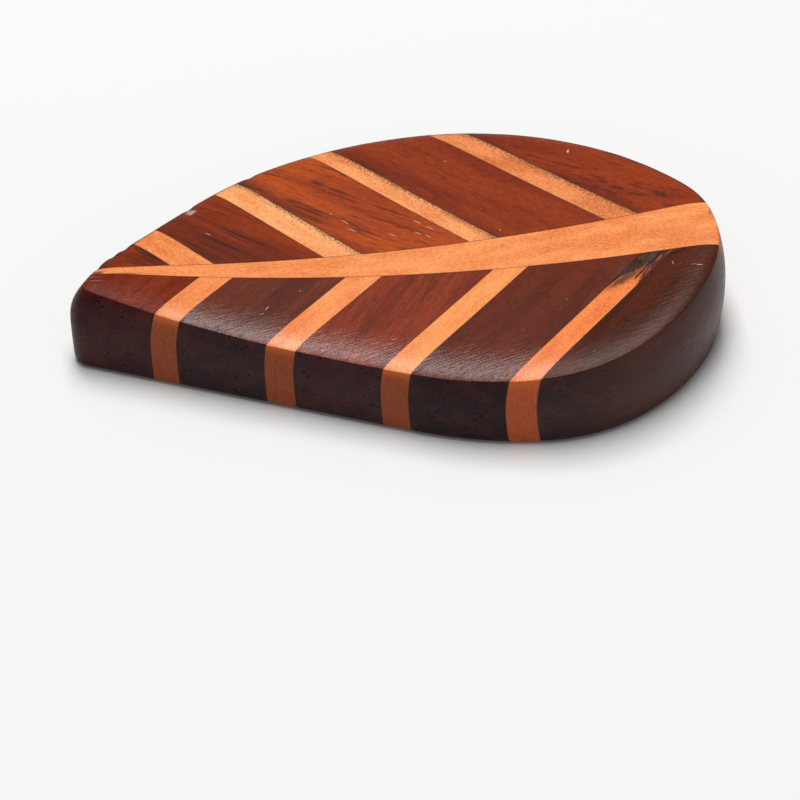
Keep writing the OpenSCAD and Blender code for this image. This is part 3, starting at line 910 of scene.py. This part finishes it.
@dataclass(frozen=True)
class Lamination:
    """One piece of wood of the block. Its subclasses say over which plan lines it lies."""

    node: str
    finish: WoodFinish
    block: Block
    rib: RibLine
    sharp_angle: float = 38.0
    merge_distance: float = 1e-4

    def sections(self) -> Section:
        """The closed sections of the piece, (lines, places, 3)."""
        raise NotImplementedError

    def cuts(self, plan: Array) -> Array:
        """Distances from the cut on the nose side, the cut on the stalk side and the midrib's edge."""
        raise NotImplementedError

    def build(self) -> bpy.types.Object:
        """Builds the piece, dresses it and puts it in the place of its CAD node.

        Neighbouring lines and neighbouring places round the section span a quad, and the first and the
        last section are closed by one flat face each.

        Returns:
            The Blender object.
        """
        section = self.sections()
        lines, places = section.rim.shape
        index = np.arange(lines * places).reshape(lines, places)
        after = np.roll(index, -1, 1)
        quads = np.stack([index[:-1], after[:-1], after[1:], index[1:]], -1).reshape(-1, 4)
        faces = quads.tolist() + [index[0, ::-1].tolist(), index[-1].tolist()]
        mesh = bpy.data.meshes.new(f"{self.node}_body")
        mesh.from_pydata((section.points.reshape(-1, 3) * MM).tolist(), [], faces)
        cuts = mesh.attributes.new("cuts", "FLOAT_VECTOR", "POINT")
        cuts.data.foreach_set("vector", self.cuts(section.points[..., :2]).ravel().astype(np.float32))
        rim = mesh.attributes.new("rim", "FLOAT", "POINT")
        rim.data.foreach_set("value", section.rim.ravel().astype(np.float32))
        shell = bmesh.new()
        shell.from_mesh(mesh)
        bmesh.ops.remove_doubles(shell, verts=shell.verts, dist=self.merge_distance * MM)
        bmesh.ops.dissolve_degenerate(shell, edges=shell.edges, dist=self.merge_distance * MM)
        bmesh.ops.recalc_face_normals(shell, faces=shell.faces)
        shell.to_mesh(mesh)
        shell.free()
        mesh.shade_smooth()
        mesh.set_sharp_from_angle(angle=math.radians(self.sharp_angle))
        mesh.materials.append(self.finish.make())
        piece = placed(f"{self.node}_body", mesh)
        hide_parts(self.node)
        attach(piece, "root")
        LOG.info("%s: %d faces", piece.name, len(mesh.polygons))
        return piece


@dataclass(frozen=True)
class Midrib(Lamination):
    """The light strip along the middle, which tapers to the nose."""

    line_count: int = 25

    def sections(self) -> Section:
        """Sections on lines fanned across the midrib's width, each running to both ends."""
        across = np.linspace(-1, 1, self.line_count)
        base = np.stack([across * 0, MIDDLE + across * self.rib.half(LENGTH / 2)], 1)
        way = np.stack([across * 0 + 1, across * self.rib.taper], 1)
        way /= np.linalg.norm(way, axis=1, keepdims=True)
        nose = self.block.section(base, -way)
        return self.block.section(base, way).joined(Section(nose.points[:, -2:0:-1], nose.rim[:, -2:0:-1]))

    def cuts(self, plan: Array) -> Array:
        """Distances from the near edge, from the far edge, and none from a midrib."""
        edges = [off_line(plan, np.array([0.0, MIDDLE + half.value * self.rib.half(LENGTH / 2)]),
                          self.rib.edge_way(half, End.STALK)) for half in (Half.NEAR, Half.FAR)]
        return np.stack([*edges, edges[0] * 0 + NO_JOINT], -1)


@dataclass(frozen=True)
class HalfLamination(Lamination):
    """A lamination of one half, whose cuts lie at an angle in degrees to the centre line."""

    half: Half = Half.FAR
    angle: float = 0.0

    def corner(self, place: float) -> Array:
        """Where the cut that crosses the centre line at a place meets the midrib's edge."""
        return self.rib.edge_point(place, self.angle, self.half)

    def off_cut(self, plan: Array, place: float) -> Array:
        """Distances of plan points from the cut that crosses the centre line at a place."""
        return off_line(plan, self.corner(place), cut_way(self.angle, self.half))

    def off_rib(self, plan: Array, place: float) -> Array:
        """Distances of plan points from the midrib's edge, which runs through a cut's corner."""
        return off_line(plan, self.corner(place), self.rib.edge_way(self.half, End.STALK))


@dataclass(frozen=True)
class SlantedSlice(HalfLamination):
    """A slice between two cuts at the same angle, which cross the centre line at two places."""

    start: float = 0.0
    stop: float = 1.0
    line_step: float = 0.2

    def rays(self) -> tuple[Array, Array]:
        """Parallel plan lines from the midrib's edge outwards."""
        first, last = self.corner(self.start), self.corner(self.stop)
        share = np.linspace(0, 1, math.ceil(np.linalg.norm(last - first) / self.line_step) + 1)[:, None]
        base = first * (1 - share) + last * share
        return base, np.broadcast_to(cut_way(self.angle, self.half), base.shape)

    def sections(self) -> Section:
        """Sections on the parallel lines."""
        return self.block.section(*self.rays())

    def cuts(self, plan: Array) -> Array:
        """Distances from both cuts and from the midrib's edge."""
        return np.stack([self.off_cut(plan, self.start), self.off_cut(plan, self.stop),
                         self.off_rib(plan, self.start)], -1)


@dataclass(frozen=True)
class PlainStrip(SlantedSlice):
    """A light strip, on closer lines than a panel."""

    line_step: float = 0.1


@dataclass(frozen=True)
class EndPanel(HalfLamination):
    """The panel at one end of a half, between its outermost cut, the midrib and the rim."""

    end: End = End.NOSE
    place: float = 0.0
    turn_step: float = 1.3

    def sections(self) -> Section:
        """Sections on lines fanned from the corner between the cut and the midrib."""
        ways = np.stack([cut_way(self.angle, self.half), self.rib.edge_way(self.half, self.end)])
        turns = np.unwrap(np.arctan2(ways[:, 1], ways[:, 0]))
        count = math.ceil(abs(math.degrees(turns[1] - turns[0])) / self.turn_step) + 1
        turn = np.linspace(turns[0], turns[1], count)
        way = np.stack([np.cos(turn), np.sin(turn)], 1)
        return self.block.section(np.broadcast_to(self.corner(self.place), way.shape), way)

    def cuts(self, plan: Array) -> Array:
        """Distances from the one cut, on its own side, and from the midrib's edge."""
        cut = self.off_cut(plan, self.place)
        none = cut * 0 + NO_JOINT
        first, last = (none, cut) if self.end is End.NOSE else (cut, none)
        return np.stack([first, last, self.off_rib(plan, self.place)], -1)


@dataclass(frozen=True)
class FillerEdge:
    """Ragged line where the filler meets the last near strip.

    across is measured from the strip's cut on the nose side, reach outwards from the midrib's edge.
    """

    across: tuple[float, ...] = (0.0, 0.13, 0.45, 0.73, 0.93, 1.02, 1.06)
    reach: tuple[float, ...] = (3.75, 2.8, 2.4, 2.1, 1.75, 1.2, 0.0)
    depth: float = 2.0
    ragged: float = 0.07
    calm_reach: float = 0.4
    sink: float = 0.05

    def line(self, across: Array) -> Array:
        """Reach of the filler at distances across the strip, made uneven by two fixed sines."""
        smooth = np.interp(across, self.across, self.reach, right=0.0)
        uneven = np.sin(across * 23.0 + 0.4) + 0.6 * np.sin(across * 57.0 + 1.9)
        return np.clip(smooth + self.ragged * uneven * (smooth > self.calm_reach), 0.0, None)


@dataclass(frozen=True)
class FilledStrip(SlantedSlice):
    """The last near strip, with a pocket at its inner end for the filler."""

    edge: FillerEdge = FillerEdge()
    line_step: float = 0.06

    def pocket(self) -> tuple[Array, Array, Array, float]:
        """Starts and directions of the lines, the filler's reach on each, and the height of its floor."""
        base, way = self.rays()
        reach = self.edge.line(off_line(base, base[0], way[0]))
        return base, way, reach, self.block.top(*base[0], INNER) - self.edge.depth

    def sections(self) -> Section:
        """Sections on the parallel lines, whose top stops at the filler and drops to the pocket's floor."""
        base, way, start, floor = self.pocket()
        section = self.block.section(base, way, start)
        plan = np.stack([base + way * start[:, None], base], 1)
        last = section.points[:, -1:, 2]
        level = np.where(start[:, None] > 0, np.minimum(last, floor), last)
        pocket = np.concatenate([plan, np.broadcast_to(level, plan.shape[:2])[..., None]], -1)
        return section.joined(Section(pocket, np.zeros(pocket.shape[:2]) + POCKET_RIM))


@dataclass(frozen=True)
class FillerPlug(FilledStrip):
    """The filler in the pocket, a little sunk and rough, open at the top."""

    line_step: float = 0.04
    rows: int = 60

    def sections(self) -> Section:
        """Sections on the strip's own lines, from the floor up its outer side and back over the top."""
        base, way, reach, floor = self.pocket()
        keep = reach > 0
        base, way, reach = base[keep], way[keep], reach[keep]
        travel = reach[:, None] * np.linspace(1, 0, self.rows)
        plan = base[:, None] + way[:, None] * travel[..., None]
        lump = np.sin(plan[..., 0] * 9.0 + 1.0) * np.sin(plan[..., 1] * 11.0 + 0.5)
        top = self.block.top(plan[..., 0], plan[..., 1], plan[..., 0] * 0 + INNER)
        upper = np.concatenate([plan, (top - self.edge.sink * (1.0 + 0.5 * lump))[..., None]], -1)
        lower = upper[:, [-1, 0]].copy()
        lower[..., 2] = floor
        points = np.concatenate([lower, upper], 1)
        return Section(points, np.zeros(points.shape[:2]) + POCKET_RIM)


@dataclass(frozen=True)
class Cut:
    """A strip of one half: where its nose-side cut crosses the centre line, and how wide it is."""

    share: float
    width: float


@dataclass(frozen=True)
class LeafHalf:
    """One half of the leaf: its strips, and the finish of each panel and strip from the nose on."""

    half: Half
    angle: float
    strip_cuts: tuple[Cut, ...]
    panels: tuple[Rosewood, ...]
    strips: tuple[LotusWood, ...]

    def spans(self) -> list[tuple[float, float]]:
        """Places at which the two cuts of each strip cross the centre line."""
        slant = math.sin(math.radians(self.angle))
        return [(cut.share * LENGTH, cut.share * LENGTH + cut.width / slant) for cut in self.strip_cuts]

    def build(self, block: Block, rib: RibLine, last_strip: type[SlantedSlice]) -> None:
        """Builds the panels and strips of this half in order.

        Args:
            block: The outer shape.
            rib: The midrib's plan.
            last_strip: Kind of the last strip.
        """
        side, spans = self.half.name.lower(), self.spans()
        common = {"block": block, "rib": rib, "half": self.half, "angle": self.angle}
        EndPanel(f"{side}_panel_1", self.panels[0], end=End.NOSE, place=spans[0][0], **common).build()
        for i, (start, stop) in enumerate(spans, 1):
            kind = last_strip if i == len(spans) else PlainStrip
            kind(f"{side}_strip_{i}", self.strips[i - 1], start=start, stop=stop, **common).build()
            if i < len(spans):
                SlantedSlice(f"{side}_panel_{i + 1}", self.panels[i], start=stop, stop=spans[i][0],
                             **common).build()
        EndPanel(f"{side}_panel_{len(spans) + 1}", self.panels[-1], end=End.STALK, place=spans[-1][1],
                 **common).build()


# Marks on each piece's top, by the name of its material, where they lie on the real one.
MARKS = {
    "lotus_midrib": marks(
        (Tone.STAIN, -18.64, 0.14, 6.1, 0.5, 4.4, 0.8, 0.9),
        (Tone.STAIN, -21.37, -0.56, 1.5, 0.9, 11.5, 0.85, 0.85),
        (Tone.STAIN, -19.52, -0.69, 4.4, 0.22, 2.1, 0.6, 0.9),
        (Tone.DUST, -18.0, -0.66, 4.6, 0.14, -2.0, 0.3, 0.95),
        (Tone.CHIP, -21.2, -0.3, 1.4, 0.12, 5.0, 0.6, 0.8),
        # Painted highlight: a pale line inside the far edge, where the midrib stands a little proud of the
        # far panels and catches the light.
        (Tone.FLECK, 17.6, 1.22, 4.6, 0.08, 2.5, 0.5, 0.8),
        (Tone.STAIN, 22.6, 0.9, 1.8, 0.35, 80.0, 0.5, 0.9)),
    "rosewood_far_panel_1": marks(
        (Tone.DARK, -17.34, 1.06, 3.7, 1.5, -42.2, 0.7, 0.95),
        (Tone.DARK, -18.92, 0.42, 3.2, 0.5, -14.7, 0.4, 0.9)),
    "rosewood_far_panel_2": marks(
        (Tone.CHIP, -14.50, 5.67, 0.95, 0.62, 30.0, 0.85),
        (Tone.STAIN, -12.51, 2.25, 8.0, 1.5, -32.1, 0.6, 0.95),
        (Tone.DARK, -12.51, 2.46, 7.2, 0.4, -31.7, 0.6, 0.85),
        (Tone.DARK, -14.89, 1.88, 5.4, 0.5, -36.5, 0.5, 0.9),
        (Tone.DARK, -11.26, 3.25, 5.5, 0.35, -31.7, 0.55, 0.85)) + flecks((-13.33, 3.29, 0.5, -34.0)),
    "rosewood_far_panel_3": marks(
        (Tone.STAIN, -0.23, 4.91, 6.4, 0.3, -31.0, 0.75, 0.9),
        (Tone.DARK, 0.37, 4.21, 5.0, 0.14, -31.0, 0.7, 0.9),
        (Tone.STAIN, 0.57, 3.30, 6.2, 0.24, -30.0, 0.75, 0.9),
        (Tone.DARK, 1.56, 2.55, 3.4, 0.16, -32.0, 0.6, 0.9)) + flecks(
        (-4.43, 4.94, 0.35, -20.0), (-3.46, 4.06, 0.9, -40.0), (-2.99, 3.21, 0.8, -32.0),
        (-0.15, 2.45, 0.9, -30.0), (1.71, 3.55, 0.9, -35.0), (2.60, 2.83, 1.0, -38.0),
        (1.71, 2.44, 0.7, -30.0), (2.41, 2.05, 0.6, -35.0)),
    "rosewood_far_panel_4": flecks((4.06, 9.45, 0.25, -30.0), (7.59, 1.91, 0.3, -60.0)),
    "rosewood_far_panel_5": marks(
        (Tone.FLECK, 12.95, 9.04, 0.5, 0.2, 75.0, 0.8, 0.8),
        (Tone.DARK, 17.53, 4.39, 2.2, 0.22, -35.0, 0.7, 0.8),
        (Tone.DARK, 18.43, 4.34, 1.5, 0.14, -35.0, 0.6, 0.8),
        (Tone.DARK, 14.84, 5.94, 1.8, 0.16, -33.0, 0.6, 0.8)),
    "rosewood_near_panel_1": marks(
        (Tone.CHIP, -21.94, -0.89, 1.9, 0.06, -6.0, 0.7, 0.8),
        (Tone.CHIP, -21.53, -1.36, 1.7, 0.05, -4.0, 0.65, 0.8)),
    "rosewood_near_panel_2": flecks(
        (-9.41, -4.12, 0.6, 60.0), (-9.79, -4.69, 0.4, 30.0), (-6.99, -2.56, 0.22, 30.0), amount=0.75),
    "rosewood_near_panel_3": marks((Tone.STAIN, -0.65, -5.14, 7.6, 0.12, 57.9, 0.6, 0.9)) + flecks(
        (-0.54, -7.73, 0.5, 15.0), amount=0.75),
    "rosewood_near_panel_4": marks(
        (Tone.DUST, 16.0, -3.66, 2.6, 1.3, 42.0, 0.6, 0.95),
        (Tone.DARK, 4.07, -10.96, 1.8, 0.1, 44.4, 0.7)),
    "rosewood_near_panel_5": marks(
        (Tone.DARK, 19.80, -2.84, 2.0, 0.3, 13.1, 0.8, 0.8),
        (Tone.FLECK, 21.44, -4.32, 0.6, 0.09, -11.3, 0.75, 0.6),
        (Tone.FLECK, 19.58, -3.73, 0.5, 0.08, -78.6, 0.55, 0.6),
        (Tone.CHIP, 21.04, -4.19, 0.5, 0.07, 13.6, 0.5, 0.6),
        (Tone.DARK, 21.95, -3.85, 0.4, 0.2, 27.7, 0.7, 0.6)),
    "lotus_near_strip_4": marks(
        (Tone.STAIN, 15.87, -4.62, 4.3, 1.1, 30.4, 0.85, 0.95),
        (Tone.DUST, 16.24, -4.37, 3.3, 0.8, 29.5, 0.7, 0.95),
        (Tone.STAIN, 18.05, -4.05, 2.8, 0.9, 43.5, 0.8, 0.8),
        (Tone.DARK, 17.20, -4.26, 1.7, 0.22, 46.0, 0.95, 0.5),
        (Tone.DARK, 17.98, -3.38, 1.1, 0.24, 40.0, 0.95, 0.5),
        (Tone.DARK, 18.98, -2.72, 1.8, 0.2, 22.9, 0.95, 0.5),
        (Tone.FRESH, 17.81, -4.11, 1.1, 0.16, 48.9, 0.8, 0.9),
        (Tone.FRESH, 18.66, -3.05, 1.1, 0.26, 48.2, 0.85, 0.9),
        (Tone.FRESH, 19.34, -2.69, 1.0, 0.14, 26.7, 0.8, 0.9)),
}


def finishes(kind: Callable[..., WoodFinish], name: str, first: int,
             *rows: tuple[float, str, str, dict[str, Any]]) -> tuple[Any, ...]:
    """Finishes of a half's like pieces, with their marks.

    Args:
        kind: Makes one finish.
        name: What their names start with, before the number.
        first: Shift of the first one's figure; each next one is shifted by 1 more.
        *rows: Direction of the fibres, light and dark colour and other settings of each piece.

    Returns:
        The finishes, from the nose on.
    """
    made = []
    for i, (angle, light, dark, own) in enumerate(rows):
        full = f"{name}_{i + 1}"
        made.append(kind(full, angle, first + i, light, dark, marks=MARKS.get(full, ()), **own))
    return tuple(made)


def far_half() -> LeafHalf:
    """The far half: redder rosewood, whose grain runs a little flatter than the strips."""
    # Panels and strips of this half get painted shade along the rim, which rolls away from the light here.
    panels = finishes(
        functools.partial(Rosewood, scratch_depth=0.4, edge_shade=0.8), "rosewood_far_panel", 1,
        (-36.0, "9C3402", "752601", dict(shade_amount=0.0, streak_amount=0.8)),
        (-34.0, "96370E", "6F2509", dict(shade_amount=0.2, streak_amount=0.7)),
        (-31.0, "B34B18", "9A3B13", dict(shade_amount=0.95, shade_width=1.5, streak_amount=0.75,
                                         streak_level=0.6)),
        (-40.0, "943711", "812C11", dict(shade_amount=0.8, shade_width=0.9, streak_amount=0.3)),
        (-31.0, "993911", "852D0F", dict(shade_amount=0.6, shade_width=0.6, streak_amount=0.6)))
    strips = finishes(
        functools.partial(LotusWood, edge_shade=0.75), "lotus_far_strip", 11,
        (-42.0, "FFA05E", "EB8242", dict(smudge_amount=0.3)),
        (-42.0, "FFB576", "F79758", dict(smudge_amount=1.0, smudge_width=0.75)),
        (-42.0, "FFA86A", "EC8B4E", dict(smudge_amount=1.0, smudge_width=0.755)),
        (-42.0, "F29358", "DA783F", dict(smudge_amount=1.0, smudge_width=0.75)))
    cuts = (Cut(0.169, 2.2), Cut(0.414, 1.95), Cut(0.647, 1.45), Cut(0.866, 1.65))
    return LeafHalf(Half.FAR, 42.3, cuts, panels, strips)


def near_half() -> LeafHalf:
    """The near half: darker, browner rosewood, whose pores end in the front wall."""
    panels = finishes(
        Rosewood, "rosewood_near_panel", 6,
        (47.0, "85321A", "722915", dict(end="41141B", shade_amount=0.0, streak_amount=0.3, wax=0.14)),
        (46.0, "72311A", "5B2616", dict(end="31161C", shade_amount=0.2, streak_amount=0.3)),
        (55.0, "8D371A", "782C17", dict(end="401D21", shade_amount=0.2, streak_amount=0.35)),
        (46.0, "6B2811", "5B210F", dict(end="2A0E17", shade_amount=0.1, streak_amount=0.25)),
        (44.0, "582715", "461D0F", dict(end="2B060C", shade_amount=0.1, streak_amount=0.3, wax=0.28,
                                        wall_wax=0.47, scratch_depth=0.9)))
    strips = finishes(
        LotusWood, "lotus_near_strip", 15,
        (45.0, "FC9A5C", "ED854A", dict(wax=0.5)),
        (45.0, "FF9F60", "F3894C", {}),
        (45.0, "FFA25E", "F68E4B", {}),
        (45.0, "FE9048", "EF793A", dict(end="DE6838", torn=0.97)))
    cuts = (Cut(0.213, 1.75), Cut(0.444, 1.95), Cut(0.678, 1.85), Cut(0.914, 1.7))
    return LeafHalf(Half.NEAR, 45.0, cuts, panels, strips)


@dataclass(frozen=True)
class Lamp:
    """A soft rectangular lamp that looks at the middle of the table, in metres and watts."""

    name: str = "overhead_softbox"
    place: Triple = (-0.01, 0.085, 0.592)
    size: tuple[float, float] = (0.21, 0.38)
    power: float = 3.0

    def build(self) -> None:
        """Makes the lamp, its light falling along its own -Z."""
        light = bpy.data.lights.new(self.name, "AREA")
        light.shape = "RECTANGLE"
        light.size, light.size_y = self.size
        light.energy = self.power
        made = placed(self.name, light)
        made.location = self.place
        made.rotation_euler = (-Vector(self.place)).to_track_quat("-Z", "Y").to_euler()


@dataclass(frozen=True)
class Studio:
    """Pale table top, soft lamp and the camera, whose place and axes were solved from the photograph."""

    eye: Triple = (-9.530233, -405.729685, 431.347398)
    right: Triple = (0.998240547, -0.052674894, -0.027224347)
    up: Triple = (0.05716787, 0.733143097, 0.677667348)
    forward: Triple = (0.015736714, 0.678031382, -0.734864478)
    focal: float = 369.494
    sensor: float = 36.0
    clip: tuple[float, float] = (0.05, 20.0)
    table_side: float = 6.0
    table_white: str = "F8F8F8"
    table_bounce: float = 0.45
    surround: float = 0.24

    def camera(self) -> None:
        """Sets the camera to the photograph's place and angle."""
        lens = bpy.data.cameras.new("camera")
        lens.lens, lens.sensor_width, lens.sensor_fit = self.focal, self.sensor, "HORIZONTAL"
        lens.clip_start, lens.clip_end = self.clip
        made = placed("camera", lens)
        turn = Matrix((self.right, self.up, tuple(-c for c in self.forward))).transposed().to_4x4()
        made.matrix_world = Matrix.Translation(Vector(self.eye) * MM) @ turn
        bpy.context.scene.camera = made

    def table(self) -> None:
        """Makes the table top of matt white card.

        It is white to the camera and in reflections, and greyer in the light that it throws back.
        """
        side = self.table_side / 2
        mesh = bpy.data.meshes.new("table_top")
        mesh.from_pydata([(-side, -side, 0), (side, -side, 0), (side, side, 0), (-side, side, 0)], [],
                         [(0, 1, 2, 3)])
        made = bpy.data.materials.new("matt_white_card")
        graph = Graph.of(made)
        path = graph.add("LightPath").node.outputs
        seen = graph.add("Math", (path["Is Camera Ray"], path["Is Glossy Ray"]), operation="MAXIMUM")
        seen = graph.add("Math", (seen, path["Is Transmission Ray"]), operation="MAXIMUM")
        grey = self.table_bounce
        colour = graph.add("Mix", {0: seen, 6: (grey, grey, grey, 1.0), 7: linear(self.table_white)}, 2,
                           data_type="RGBA")
        graph.add("OutputMaterial", (graph.add("BsdfDiffuse", (colour,)),))
        mesh.materials.append(made)
        table = placed("table_top", mesh)

    def world(self) -> None:
        """Sets the surroundings: white to the camera, a weak even light on the object."""
        made = bpy.data.worlds.new("white_room")
        graph = Graph.of(made)
        path = graph.add("LightPath", output="Is Camera Ray")
        light = graph.add("Background", (linear("FFFFFF"), self.surround))
        shown = graph.add("Background", (linear(self.table_white), 1.0))
        graph.add("OutputWorld", (graph.add("MixShader", (path, light, shown)),))
        bpy.context.scene.world = made

    def build(self) -> None:
        """Builds camera, table, world and lamp, and sets the plain view transform."""
        self.camera()
        self.table()
        self.world()
        Lamp().build()
        bpy.context.scene.view_settings.view_transform = "Standard"


def main() -> None:
    logging.basicConfig(level=logging.INFO, format="%(message)s")
    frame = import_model()
    LOG.info("frame with %d nodes", len(frame["nodes"]))
    block, rib = Block(), RibLine()
    midrib = LotusWood("lotus_midrib", 0.0, 19.0, "FFA05D", "F08647", marks=MARKS["lotus_midrib"])
    Midrib("midrib", midrib, block, rib).build()
    far_half().build(block, rib, PlainStrip)
    near = near_half()
    near.build(block, rib, FilledStrip)
    start, stop = near.spans()[-1]
    FillerPlug("filler_plug", FillerPaste("dark_filler_paste", 44.0, 20.0, "5E4739", "35261E"), block, rib,
               half=near.half, angle=near.angle, start=start, stop=stop).build()
    Studio().build()


if __name__ == "__main__":
    main()
